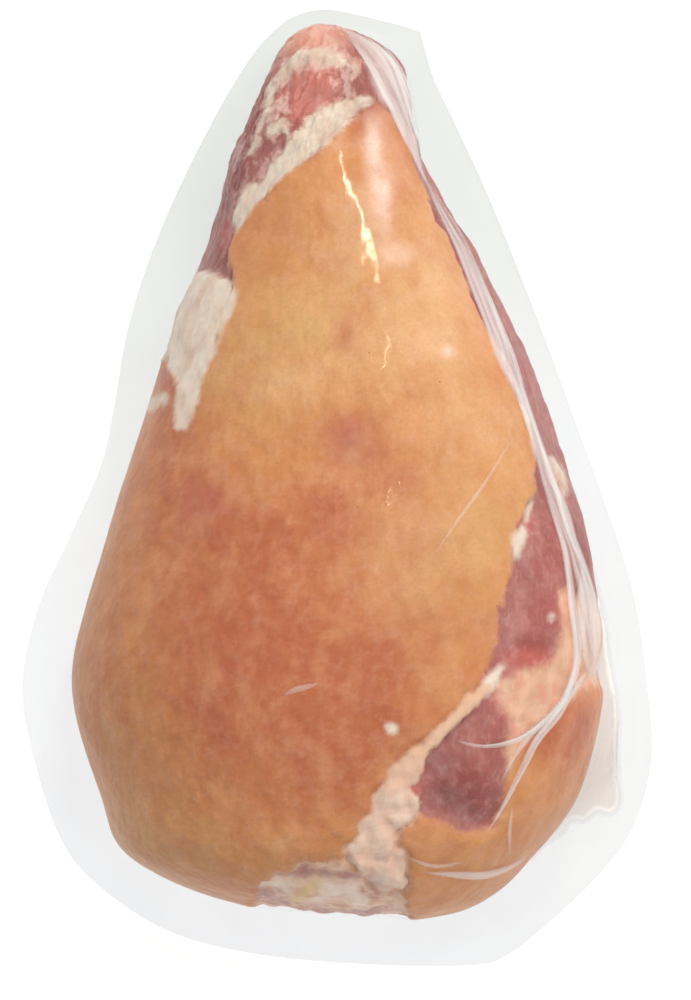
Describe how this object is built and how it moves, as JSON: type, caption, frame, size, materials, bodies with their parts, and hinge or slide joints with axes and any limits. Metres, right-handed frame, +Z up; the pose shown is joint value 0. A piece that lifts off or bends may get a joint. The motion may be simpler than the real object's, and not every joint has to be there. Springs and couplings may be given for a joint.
{
  "type": "vacuum-packed pork knuckle",
  "caption": "Raw pork knuckle with its rind on, pear shaped, drawn tight in a clear vacuum bag with a welded skirt, lying on its flat side.",
  "frame": {"origin": "on the resting plane, under the middle of the bag's outline", "axes": "+Z up, +Y along the knuckle from the wide ham end to the shank tip, +X to the right seen from above"},
  "size_m": [0.16, 0.243, 0.0848],
  "materials": {
    "rind": "smooth raw pork rind under clear film, warm tan, glossy",
    "film": "clear, glossy shrunk vacuum film, milky where it gathers"
  },
  "bodies": {
    "root": {"vacuum_pack": "rind"}
  },
  "joints": []
}
